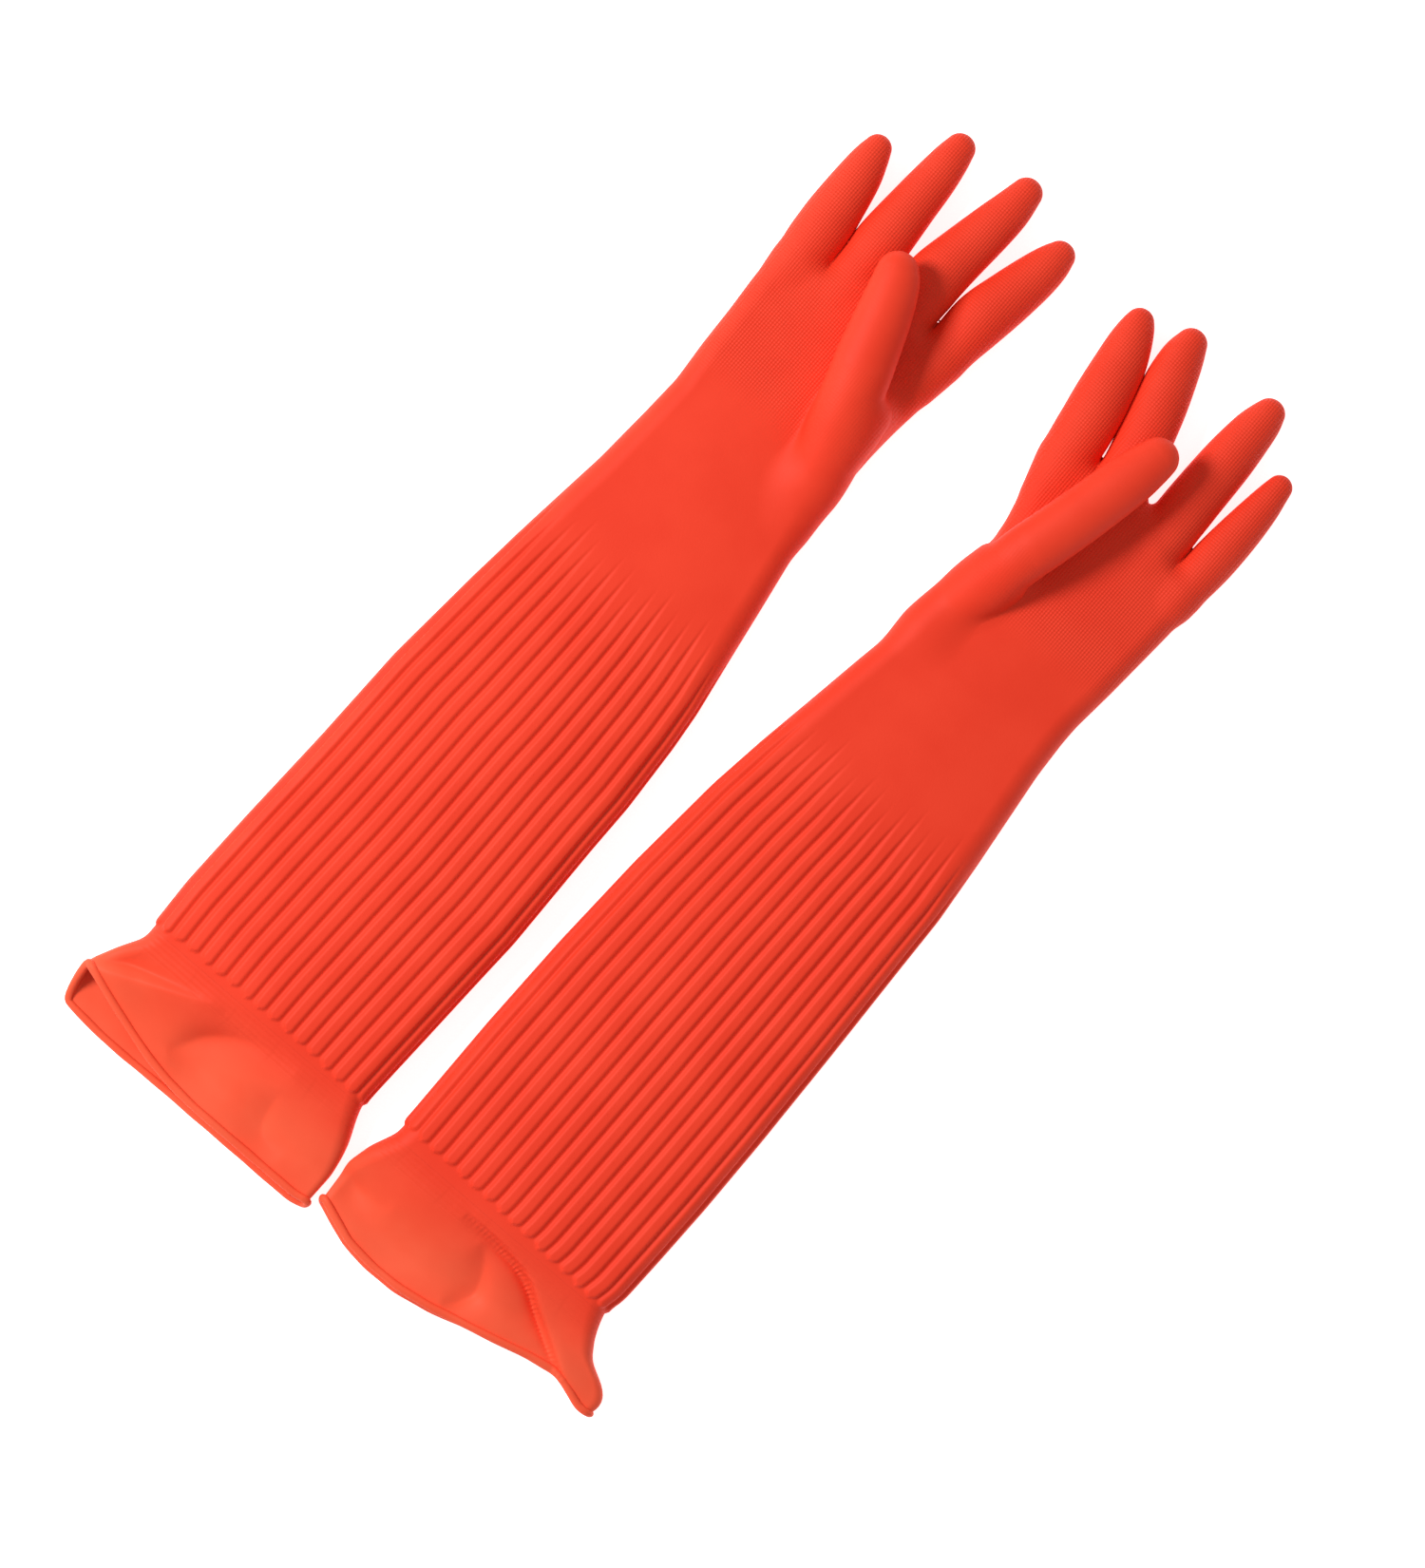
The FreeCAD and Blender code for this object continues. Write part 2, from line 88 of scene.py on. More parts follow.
# low and high: places along Y, and x of the left and right edge there.
# mouth_top, mouth_low: places along X, and y of the rim there, on the upper and the lower layer.
# webs: places along X, and y where the palm ends there.
# phase: how far the first rib is turned, in ribs. ripples: seeds of the cuff's and the sleeve's unevenness.
# rib_end: places along X, and y where the ribs end there, at the cuff.
# Digits: points (x, y, radius) of the middle line, and for the thumb and its mound also the height.
GLOVES = {
    "right": {
        "low": [(-290, -152), (-283.5, -153), (-262.5, -155.8), (-250, -149.5), (-238.5, -144.2),
                (-228, -144.2), (-206, -145), (-166, -144), (-116, -142), (-66, -141), (-16, -137),
                (13, -134), (38, -131), (63, -128), (93, -126), (113, -125), (133, -126.6),
                (153, -127.4), (170, -128.6), (185, -129.2), (203, -129.4), (240, -129.4)],
        "high": [(-290, -8), (-284, -7.8), (-266, -7.4), (-256, -9), (-243, -12.6), (-229.5, -16.5),
                 (-221, -16.3), (-186, -15), (-156, -14), (-131, -13), (-76, -14), (-50, -14),
                 (-16, -16), (3, -18), (33, -23), (58, -27), (88, -32), (108, -35.6), (123, -35.2),
                 (143, -34.8), (163, -33), (178, -31.2), (190, -30.4), (203, -30), (240, -30)],
        "mouth_top": [(-156, -262.5), (-148, -265), (-132, -271), (-118, -275.5), (-107, -278.6),
                      (-92, -281.4), (-77, -282.6), (-42, -282.8), (-14, -282.8), (-6, -281)],
        "mouth_low": [(-156, -283), (-151, -284.4), (-132, -286), (-117, -286.2), (-92, -285.8),
                      (-42, -286), (-14, -286), (-6, -283.4)],
        "webs": [(-120, 186), (-103, 188), (-80, 200), (-51, 194), (-36, 196)],
        "phase": 0.03,
        "ripples": (3, 7),
        "rib_end": [(-150, -232), (-130, -229.5), (-60, -229), (-20, -231.5)],
        "little": [(-118.2, 184, 9.5), (-118.4, 197, 12.4), (-118.9, 208, 13.1), (-120.1, 219, 12.4),
                   (-121.7, 235.5, 10.6), (-123.1, 245.5, 8.6), (-123.9, 252.2, 6.6)],
        "ring": [(-94.5, 188, 9), (-93.9, 200, 12), (-93.9, 211, 12.7), (-94.4, 223, 12.9),
                 (-94.8, 243, 11.4), (-94.9, 258, 10.2), (-95.2, 269, 8.8), (-95.4, 276.7, 7.2)],
        "middle": [(-67, 194, 9.5), (-65.6, 206, 13.3), (-65.3, 217, 13.9), (-65.2, 226, 13.8),
                   (-63.8, 238, 12.8), (-61, 258, 11.1), (-59.5, 270, 9.6), (-59, 280.9, 7.5)],
        "index": [(-40.5, 184, 9.5), (-39.5, 198, 11.6), (-38.8, 210, 12.3), (-37.4, 224, 13.3),
                  (-34.4, 239, 12.5), (-31.6, 253, 11.1), (-29.9, 262.5, 9.4), (-28.9, 269.2, 7.2)],
        "thumb": [(-45, 99, 6.5, 9), (-46.5, 113, 9.6, 14), (-50.4, 131, 12.6, 21), (-57, 152, 14.3, 28.5),
                  (-62.5, 168.5, 14.2, 32.6), (-65.2, 176, 14, 33.6), (-71, 193.5, 12.9, 34.6),
                  (-76.2, 207.4, 11.3, 35), (-79.2, 213, 9.8, 35.2)],
        "mound": [(-44.5, 97, 5.5, 9), (-47, 113, 8.6, 12), (-49.6, 131, 11.6, 16), (-50.8, 147, 14, 19.5),
                  (-51, 156, 13.8, 21)],
    },
    "left": {
        "low": [(-290, -4), (-279, -3.4), (-262, -4.6), (-256, -5.8), (-244, -3), (-230, 1.2),
                (-219, 1.4), (-166, 1), (-116, 1.8), (-66, 4), (-16, 8), (13, 12), (43, 17),
                (68, 21), (91, 25), (113, 27.2), (128, 29.4), (140, 31.4), (150, 32.4), (162, 31),
                (173, 28.4), (201, 22), (240, 20)],
        "high": [(-290, 146), (-274, 151), (-271, 153.4), (-266.5, 154.4), (-262, 153.6), (-257.5, 149),
                 (-252.5, 138), (-244, 133.4), (-229.5, 129), (-221, 131), (-196, 131.6), (-166, 132),
                 (-126, 131.5), (-76, 130), (-26, 128), (3, 127), (33, 124), (58, 121), (83, 118),
                 (101, 117), (111, 117), (133, 119), (163, 121), (180, 122), (193, 122.4), (240, 122.6)],
        "mouth_top": [(-6, -274.5), (6, -279), (18, -283), (34, -284.6), (50, -284.2), (68, -281.2),
                      (98, -273.4), (113, -269), (128, -266.4), (139, -269.4), (147, -272), (154, -271)],
        "mouth_low": [(-6, -276.5), (6, -281), (18, -285), (34, -286.8), (50, -286.4), (68, -283),
                      (98, -273.4), (113, -269), (128, -266.4), (139, -269.4), (147, -272), (154, -271)],
        "webs": [(34, 196), (47, 198.5), (76, 200.5), (103, 188.5), (118, 186)],
        "phase": 0.73,
        "ripples": (5, 2),
        "rib_end": [(0, -226), (60, -227.5), (100, -230), (130, -231.5)],
        "little": [(113.3, 184, 9.6), (114.1, 197, 10.3), (114.8, 210, 10.6), (115.5, 226, 9.8),
                   (115.9, 240, 8.4), (115.9, 249, 7), (116, 254.3, 6)],
        "ring": [(90.8, 188, 9.5), (90.7, 202, 12.7), (90.5, 214, 12.8), (90.2, 228, 12.6), (90.1, 248, 12),
                 (90.1, 264, 10.5), (90.4, 271.5, 9.1), (90.5, 276.9, 7.4)],
        "middle": [(64, 194, 9.5), (60.6, 207, 13), (58.7, 217.5, 13.3), (56.4, 226, 13.1),
                   (53.5, 236, 12.9), (50.3, 247, 12.6), (46.8, 258.5, 11.8), (44, 269.5, 10.1),
                   (42.7, 277.8, 7.5)],
        "index": [(36.6, 183, 9.5), (33.9, 199, 12.7), (32, 211, 13.4), (30.3, 221, 13.5),
                  (27.9, 233, 13.3), (24.7, 248, 12.2), (21.8, 258.5, 10.5), (19.6, 266.2, 8.4),
                  (18.4, 270.2, 6.7)],
        "thumb": [(38, 104, 9, 10), (39.8, 120, 11.4, 14.5), (43, 134, 12.7, 21.5), (46.2, 149, 12.9, 30),
                  (48.3, 158, 13, 32.7), (50, 164, 13, 33.6), (55, 183.5, 12.8, 34.8),
                  (60.6, 208, 12.2, 35.6), (63.3, 220, 10.8, 36), (64.6, 225.8, 9.7, 36)],
        "mound": [(37, 95, 7, 9), (39, 113, 9.4, 12), (42.2, 130, 12, 15.5), (44.4, 142, 12, 19)],
    },
}

# Each digit's hinges: x and y of its root line, turn in degrees, how far past the root line its
# fold is, and half the length of the stretch that bends there.
DIGITS = {
    "right": {"index": (-39.6, 208, -9.1, 35, 11), "middle": (-67.1, 209.5, -5.6, 41, 12),
              "ring": (-95, 209.5, 0, 38, 12), "little": (-119, 205.5, 5.4, 26, 9),
              "thumb": (-62.5, 168.5, 18.8, 27, 10)},
    "left": {"index": (33, 207.5, 12.8, 35, 11), "middle": (60.9, 211.5, 14.7, 39, 12),
             "ring": (88.7, 211.5, -1, 35, 11), "little": (114.6, 205.5, -1.9, 26, 9),
             "thumb": (47.5, 155.5, -11.9, 41, 12)},
}

# Soft ridges (height above 0) and valleys (below 0) in the upper layer of each cuff:
# points (x, y, height), how round the crest is, and its width on its left and right side.
FOLDS = {
    "right": [
        ([(-152, -264.7, 1.5), (-139, -258.5, 3), (-125, -252.5, 3), (-104, -243.5, 1.5), (-92, -240, 0)],
         1.0, 3.5, 14),
        ([(-153, -260, -1), (-146, -255.5, -3), (-139, -251.5, -4), (-126, -247, -3), (-113, -243, -1.5),
          (-100, -240, 0)], 0.8, 7, 3),
        ([(-101, -272, -0.5), (-98, -266, -2.5), (-93, -257, -4.5), (-86, -250, -4.8), (-77, -245, -3.8),
          (-64, -241.5, -1.8), (-50, -240, 0)], 2.5, 6.5, 15),
        ([(-50, -250, 0), (-49.5, -258, -1.2), (-47, -268, -1.8), (-42, -273, -1.6), (-30, -275, 0)],
         1, 4, 12),
    ],
    "left": [
        ([(50, -238.6, 0), (60, -239, -2.5), (72, -240, -4.5), (85, -242, -6), (95, -246, -7),
          (103, -251, -7), (115, -258, -5), (127, -264.5, -3), (134, -268, -1)], 0.3, 1.3, 11),
        ([(58, -239.2, 0), (72, -240.8, -1.6), (85, -243, -2.6), (95, -247.2, -3), (102.6, -252.2, -3),
          (114.6, -259.2, -2.4), (126, -265.4, -1.2)], 0.2, 0.9, 1.7),
        ([(64, -244, 0), (70, -249, -2.4), (75, -257, -3.6), (77, -264, -3.6), (74, -271, -2.4),
          (68, -276, 0)], 1.2, 4, 14),
        ([(-6, -258, -3), (4, -262, -4), (14, -262, -2), (24, -258, 0)], 2, 9, 12),
    ],
}


def smooth_line(points, sigma):
    """A table of (place, value) as a function, rounded over about sigma millimetres."""
    places, values = np.array(points, float).T
    fine = np.arange(places[0] - 4 * sigma, places[-1] + 4 * sigma + 0.5, 0.5)
    reach = np.arange(-3 * sigma, 3 * sigma + 0.5, 0.5)
    weight = np.exp(-0.5 * (reach / sigma) ** 2)
    rough = np.interp(fine, places, values)
    padded = np.pad(rough, len(reach) // 2, mode="edge")
    soft = np.convolve(padded, weight / weight.sum(), mode="valid")[:len(fine)]
    return lambda place: np.interp(place, fine, soft)


def ease(value):
    """Smooth step from 0 to 1."""
    value = np.clip(value, 0, 1)
    return value * value * (3 - 2 * value)


class Outline:
    """Edges, height and crown of one glove at any place along Y."""

    def __init__(self, glove):
        table = GLOVES[glove]
        self.low = smooth_line(table["low"], 2)
        self.high = smooth_line(table["high"], 2)
        self.height = smooth_line(HEIGHTS, 10)
        self.mouth_top = smooth_line(table["mouth_top"], 2.5)
        self.mouth_low = smooth_line(table["mouth_low"], 2.5)
        self.web = smooth_line(table["webs"], 3)
        self.rib_end = smooth_line(table["rib_end"], 3)

    def crown(self, x, y):
        """How much the top is raised in the middle."""
        low, high = self.low(y), self.high(y)
        share = np.clip((2 * x - low - high) / (high - low), -1, 1)
        return 1.6 * (1 - share ** 2) ** 2


def section(outline, u, y):
    """Point of the plain sleeve at the share u of its girth, from its left side over the top."""
    low, high, tall = outline.low(y), outline.high(y), outline.height(y)
    r = tall / 2
    straight = high - low - 2 * r
    girth = 2 * straight + 2 * np.pi * r
    s = (u % 1.0) * girth
    quarter = np.pi * r / 2
    first = s < quarter
    top = (s >= quarter) & (s < quarter + straight)
    right = (s >= quarter + straight) & (s < 3 * quarter + straight)
    bottom = (s >= 3 * quarter + straight) & (s < 3 * quarter + 2 * straight)
    angle = np.where(first, np.pi - s / r, 0.0)
    angle = np.where(right, np.pi / 2 - (s - quarter - straight) / r, angle)
    last = ~(first | top | right | bottom)
    angle = np.where(last, -np.pi / 2 - (s - 3 * quarter - 2 * straight) / r, angle)
    middle = np.where(right, high - r, low + r)
    x = middle + r * np.cos(angle)
    z = r + r * np.sin(angle)
    x = np.where(top, low + r + s - quarter, x)
    z = np.where(top, tall, z)
    x = np.where(bottom, high - r - (s - 3 * quarter - straight), x)
    z = np.where(bottom, 0.0, z)
    return x, z * (tall + outline.crown(x, y)) / tall


def fold_height(x, y, line, soft, left, right):
    """Height of one ridge or valley over the points x, y."""
    nodes = spline(line, 40)
    way = np.gradient(nodes[:, :2], axis=0)
    way /= np.linalg.norm(way, axis=1, keepdims=True)
    dx = x[..., None] - nodes[:, 0]
    dy = y[..., None] - nodes[:, 1]
    away = dx ** 2 + dy ** 2
    weight = (away + 2.0) ** -3.0
    weight /= weight.sum(-1, keepdims=True)
    height = (weight * nodes[:, 2]).sum(-1)
    side = (weight * (way[:, 0] * dy - way[:, 1] * dx)).sum(-1)
    away = np.sqrt((weight * away).sum(-1))
    width = right + (left - right) * (0.5 + 0.5 * np.tanh(side / 1.5))
    return height * np.exp(-(np.sqrt(away ** 2 + soft ** 2) - soft) / width)


def ripple(x, y, scale, seed):
    """Gentle unevenness between about -1 and 1, the same on each run."""
    total = np.zeros(np.broadcast(x, y).shape)
    for step in range(1, 5):
        turn = seed * 1.7 + step * 2.3
        wave = (x * math.cos(turn) + y * math.sin(turn)) * step ** 0.5 / scale
        total = total + np.sin(wave + seed * step) / step
    return total / 2


def normals_of(grid):
    """Outward normals of a closed tube of points, rows by columns."""
    along = np.gradient(grid, axis=0)
    around = (np.roll(grid, -1, 1) - np.roll(grid, 1, 1)) / 2
    cross = np.cross(around, along)
    return cross / np.linalg.norm(cross, axis=2, keepdims=True)


def sleeve(glove, outline):
    """Rows of points of the sleeve and cuff, from the mouth to the hand, and their normals."""
    count = RIBS * RIB_STEPS
    phase = GLOVES[glove]["phase"]
    cuff_seed, sleeve_seed = GLOVES[glove]["ripples"]
    u = (np.arange(count) / RIB_STEPS + phase) / RIBS
    x_mouth, z_mouth = section(outline, u, RIM_Y)
    upper = ease(z_mouth / outline.height(RIM_Y))
    mouth = outline.mouth_low(x_mouth) * (1 - upper) + outline.mouth_top(x_mouth) * upper
    cuff_share = np.linspace(0, 1, 49)[:-1]
    cuff_rows = mouth[None, :] + (EVEN_Y - mouth[None, :]) * cuff_share[:, None]
    plain = np.concatenate([np.arange(EVEN_Y, -222, 0.8), np.arange(-222, -10, 2.4),
                            np.arange(-10, 46, 1.4), np.linspace(46, HAND_Y, 16)])
    y = np.concatenate([cuff_rows, np.repeat(plain[:, None], count, 1)])
    columns = np.broadcast_to(u, y.shape)
    x, z = section(outline, columns, y)
    top = ease((z / outline.height(y) - 0.5) * 2.2)

    # Folds and unevenness of the upper layer, and the lift of both layers onto the rolled rim.
    cuff = ease((-232.0 - y) / 16)
    for line, soft, left, right in FOLDS[glove]:
        z = z + top * ease((-229.0 - y) / 8) * fold_height(x, y, line, soft, left, right)
    z = z + top * cuff * 0.7 * ripple(x, y, 9.0, cuff_seed)
    z = z + BEAD * 1.1 * ease((mouth + 16 - y) / 14)
    calm = ease((HAND_Y - 6 - y) / 30)
    z = z + top * (1 - cuff) * calm * 0.35 * ripple(x, y, 16.0, sleeve_seed)
    grid = np.stack([x, y, z], 2)

    # Ribs: they end round at the cuff, and their grooves fade out in points at the wrist.
    flat = normals_of(grid)
    girth = 2 * (outline.high(y) - outline.low(y)) - outline.height(y) * (2 - math.pi)
    pitch = girth / RIBS
    around = (columns * RIBS - phase + 0.5) % 1.0 - 0.5
    number = np.round(columns * RIBS - phase)
    end = outline.rib_end(x) + 0.4 * np.sin(number * 2.1)
    tip = 38 + 4 * np.sin(number * 1.9) + 2 * np.sin(number * 0.6)
    fade = ease((tip - y) / 44)
    half = RIB_HALF * (0.35 + 0.65 * fade)
    past = np.clip(end + pitch / 2 - y, 0, None)
    away = pitch / 2 - np.hypot(pitch / 2 - np.abs(around) * pitch, past)
    groove = RIB_DEPTH * fade * (0.5 + 0.5 * np.cos(np.pi * np.clip(away / half, 0, 1)))
    groove = groove * ease((y - end + 20) / 17)
    grid = grid - flat * groove[:, :, None]
    return grid, normals_of(grid)


def spline(points, count):
    """Points along a smooth line through the given points, evenly spread."""
    p = np.array(points, float)
    p = np.vstack([2 * p[0] - p[1], p, 2 * p[-1] - p[-2]])
    t = np.linspace(0, 1, 24, endpoint=False)[:, None]
    runs = []
    for a, b, c, d in zip(p, p[1:], p[2:], p[3:]):
        runs.append(0.5 * (2 * b + (c - a) * t + (2 * a - 5 * b + 4 * c - d) * t ** 2
                           + (3 * b - a - 3 * c + d) * t ** 3))
    runs.append(p[-2:-1])
    fine = np.vstack(runs)
    steps = np.r_[0, np.cumsum(np.linalg.norm(np.diff(fine[:, :2], axis=0), axis=1))]
    even = np.linspace(0, steps[-1], count)
    return np.stack([np.interp(even, steps, fine[:, i]) for i in range(fine.shape[1])], 1)


class Balls:
    """The envelope of balls along a smooth line, flattened in height."""

    def __init__(self, line, squat):
        self.balls = spline(line, 72)
        self.squat = squat

    def field(self, points, balls=None):
        """Distance to the surface of all the balls, or of the given ones, below 0 inside."""
        balls = self.balls if balls is None else balls
        out = np.empty(len(points))
        for start in range(0, len(points), 60000):
            part = points[start:start + 60000]
            gaps = np.sqrt((part[:, None, 0] - balls[None, :, 0]) ** 2
                           + (part[:, None, 1] - balls[None, :, 1]) ** 2
                           + ((part[:, None, 2] - balls[None, :, 3]) / self.squat) ** 2)
            gaps -= balls[None, :, 2]
            best = np.argmin(gaps, 1)
            rows = np.arange(len(part))
            inner = np.clip(best, 1, len(balls) - 2)
            a, b, c = gaps[rows, inner - 1], gaps[rows, inner], gaps[rows, inner + 1]
            bend = np.maximum(a - 2 * b + c, 1e-6)
            shift = np.clip((a - c) / (2 * bend), -1, 1)
            smooth = b - (a - c) * shift / 4
            out[start:start + 60000] = np.where(best == inner, smooth, gaps[rows, best])
        return out


class Digit(Balls):
    """A finger or thumb, with the CAD hinge lines that it bends at.

    Its own pieces start at the distance cut past its root line.
    """

    def __init__(self, glove, name):
        self.name = name
        line = GLOVES[glove][name]
        if name != "thumb":
            high = LIFTS[name]
            line = [(x, y, r, max(high - DROOP * i / len(line), r * SQUAT + 0.1))
                    for i, (x, y, r) in enumerate(line)]
        super().__init__(line, THUMB_SQUAT if name == "thumb" else SQUAT)
        x, y, turn, self.fold, self.half = DIGITS[glove][name]
        self.root = np.array([x, y, self.height_at_root(x, y)])
        turn = math.radians(turn)
        self.way = np.array([-math.sin(turn), math.cos(turn), 0.0])
        self.cut = 0.0 if name == "thumb" else 2.0

    def height_at_root(self, x, y):
        """Height of the middle line where it is nearest to x, y."""
        nearest = np.argmin(np.hypot(self.balls[:, 0] - x, self.balls[:, 1] - y))
        return self.balls[nearest, 3]

    def along(self, points):
        """Distance past the root line."""
        return (points - self.root) @ self.way

    def balls_along(self):
        """Distance of each ball past the root line."""
        return self.along(self.balls[:, [0, 1, 3]])

    def stump_field(self, points):
        """Distance to the surface of the short root that belongs to the hand piece."""
        return self.field(points, self.balls[self.balls_along() < self.cut + STUMP])


def palm_field(outline, points):
    """Distance to the surface of the palm and wrist, below 0 inside."""
    x, y, z = points.T
    tall = outline.height(y)
    half = tall / 2
    low, high = outline.low(y), outline.high(y)
    z = z * tall / (tall + outline.crown(x, y))
    across = np.maximum(np.abs(x - (low + high) / 2) - ((high - low) / 2 - half), 0)
    past = np.maximum(y - outline.web(x), 0)
    return np.sqrt(across ** 2 + past ** 2 + (z - half) ** 2) - half


def blended(palm, digit_value, softness):
    """Smooth union of the palm and one digit."""
    k = np.maximum(softness, 1e-3)
    mix = np.maximum(1 - np.abs(palm - digit_value) / k, 0)
    return np.minimum(palm, digit_value) - mix ** 2 * k / 4


def hand_field(outline, digits, mound, points, only=None):
    """Field of the palm with the mound and all the short digits, or of the palm with one whole digit."""
    palm = palm_field(outline, points)
    swell = mound.field(points)
    above = ease(points[:, 2] / 7)
    total = blended(palm, swell, MOUND_SOFT * above)
    for digit in digits if only is None else [only]:
        value = digit.stump_field(points) if only is None else digit.field(points)
        if digit.name == "thumb":
            t = digit.along(points)
            value = blended(swell, value, THUMB_SOFT * above * (1 - ease((t + 14) / 13)))
            k = (3 + 10 * (1 - ease((t + 62) / 30))) * (1 - ease((t + 9) / 9))
            value = blended(palm, value, k * above)
        else:
            value = blended(palm, value, FINGER_SOFT * above)
        total = value if only is not None else np.minimum(total, value)
    return total


def surface(field, low, high):
    """Closed surface field = 0 as points and four-cornered faces, on the shared grid.

    The grid is moved up a little, so that the flat lower layer doesn't lie in one of its planes.
    """
    start = np.floor(np.array(low) / GRID).astype(int)
    size = np.ceil(np.array(high) / GRID).astype(int) - start + 1
    offset = np.array([0.0, 0.0, 0.37])
    axes = [(start[i] + np.arange(size[i])) * GRID + offset[i] for i in range(3)]
    points = np.stack(np.meshgrid(*axes, indexing="ij"), 3).reshape(-1, 3)
    value = field(points).reshape(size)
    inside = value < 0
    corners = [(i, j, k) for i in (0, 1) for j in (0, 1) for k in (0, 1)]

    def cell_view(array, i, j, k):
        return array[i:size[0] - 1 + i, j:size[1] - 1 + j, k:size[2] - 1 + k]

    count = sum(cell_view(inside, *c).astype(int) for c in corners)
    active = (count > 0) & (count < 8)
    cells = np.argwhere(active)
    number = np.full(active.shape, -1)
    number[tuple(cells.T)] = np.arange(len(cells))
    total = np.zeros((len(cells), 3))
    hits = np.zeros(len(cells))
    for a in corners:
        for axis in range(3):
            if a[axis]:
                continue
            b = tuple(v + (i == axis) for i, v in enumerate(a))
            va = value[tuple((cells + a).T)]
            vb = value[tuple((cells + b).T)]
            cross = (va < 0) != (vb < 0)
            t = np.where(cross, va / np.where(cross, va - vb, 1), 0)
            place = np.array(a, float) + np.zeros((len(cells), 3))
            place[:, axis] += t
            total += place * cross[:, None]
            hits += cross
    vertices = (start + cells + total / hits[:, None]) * GRID + offset
    faces = []
    for axis in range(3):
        b, c = (axis + 1) % 3, (axis + 2) % 3
        one = np.take(inside, range(size[axis] - 1), axis)
        two = np.take(inside, range(1, size[axis]), axis)
        edges = np.argwhere(one != two)
        keep = ((edges[:, b] > 0) & (edges[:, b] < size[b] - 1)
                & (edges[:, c] > 0) & (edges[:, c] < size[c] - 1))
        edges = edges[keep]
        forward = one[tuple(edges.T)]
        quad = []
        for db, dc in ((0, 0), (-1, 0), (-1, -1), (0, -1)):
            cell = edges.copy()
            cell[:, b] += db
            cell[:, c] += dc
            quad.append(number[tuple(cell.T)])
        quad = np.stack(quad, 1)
        quad = np.where(forward[:, None], quad, quad[:, ::-1])
        faces.append(quad)
    faces = np.concatenate(faces)
    return vertices, faces[(faces >= 0).all(1)]


def gradient(field, points):
    """Slope of the field at each point."""
    step = 0.05
    slope = np.empty_like(points)
    for axis in range(3):
        ahead, behind = points.copy(), points.copy()
        ahead[:, axis] += step
        behind[:, axis] -= step
        slope[:, axis] = (field(ahead) - field(behind)) / (2 * step)
    return slope


def settle(field, points, edge):
    """Moves points onto the surface; those on the cut plane stay in it."""
    for _ in range(2):
        slope = gradient(field, points)
        slope[edge, 1] = 0
        points = points - slope * (field(points) / np.maximum((slope ** 2).sum(1), 1e-6))[:, None]
    return points


def relax(points, faces, fixed):
    """Evens out the spacing of the points."""
    total = np.zeros_like(points)
    count = np.zeros(len(points))
    for i in range(4):
        for j in (faces[:, (i + 1) % 4], faces[:, (i + 3) % 4]):
            np.add.at(total, faces[:, i], points[j])
            np.add.at(count, faces[:, i], 1)
    moved = np.where(count[:, None] > 0, total / np.maximum(count, 1)[:, None], points)
    moved = points + 0.5 * (moved - points)
    return np.where(fixed[:, None], points, moved)


def skin(field, low, high, plane=False):
    """Points, faces and normals of the surface field = 0, cut off flat at HAND_Y if plane is set."""
    points, faces = surface(field, low, high)
    edge = points[:, 1] < HAND_Y + GRID if plane else np.zeros(len(points), bool)
    if plane:
        faces = faces[~edge[faces].all(1)]
        points[edge, 1] = HAND_Y
    points = settle(field, points, edge)
    for _ in range(2):
        points = relax(points, faces, edge)
        points = settle(field, points, edge)
    slope = gradient(field, points)
    return points, faces, slope / np.linalg.norm(slope, axis=1, keepdims=True)


def linked(name, mesh, points, material):
    """An object of the mesh, which keeps its points at rest for the material."""
    rest = mesh.attributes.new("rest", "FLOAT_VECTOR", "POINT")
    rest.data.foreach_set("vector", points.ravel())
    mesh.materials.append(material)
    piece = bpy.data.objects.new(name, mesh)
    bpy.context.scene.collection.objects.link(piece)
    return piece


def build_piece(name, points, faces, normals, grip, material):
    """A skin of real thickness as a Blender object, from its outer side."""
    used = np.unique(faces)
    new = np.full(len(points), -1)
    new[used] = np.arange(len(used))
    faces, points, normals, grip = new[faces], points[used], normals[used], grip[used]
    count = len(points)
    inner = points - normals * WALL
    sides = np.concatenate([faces[:, [i, (i + 1) % 4]] for i in range(4)])
    keys = sides[:, 0].astype(np.int64) * count + sides[:, 1]
    mirrored = sides[:, 1].astype(np.int64) * count + sides[:, 0]
    rim = sides[~np.isin(keys, mirrored)]
    rim_faces = np.stack([rim[:, 1], rim[:, 0], rim[:, 0] + count, rim[:, 1] + count], 1)
    all_faces = np.concatenate([faces, faces[:, ::-1] + count, rim_faces])
    all_points = np.concatenate([points, inner])
    mesh = bpy.data.meshes.new(name)
    mesh.vertices.add(len(all_points))
    mesh.vertices.foreach_set("co", (all_points * MM).ravel())
    mesh.loops.add(all_faces.size)
    mesh.loops.foreach_set("vertex_index", all_faces.ravel())
    mesh.polygons.add(len(all_faces))
    mesh.polygons.foreach_set("loop_start", np.arange(len(all_faces)) * 4)
    mesh.polygons.foreach_set("use_smooth", np.ones(len(all_faces), bool))
    mesh.update(calc_edges=True)
    mesh.normals_split_custom_set_from_vertices(np.concatenate([normals, -normals]))
    piece = linked(name, mesh, all_points, material)
    mask = mesh.attributes.new("grip", "FLOAT", "POINT")
    mask.data.foreach_set("value", np.concatenate([grip, grip * 0]))
    return piece


def tube_faces(rows, columns):
    """Faces of a closed tube of rows by columns."""
    i = np.arange(rows - 1)[:, None] * columns
    j = np.arange(columns)[None, :]
    after = (j + 1) % columns
    return np.stack([i + j, i + after, i + columns + after, i + columns + j], 2).reshape(-1, 4)


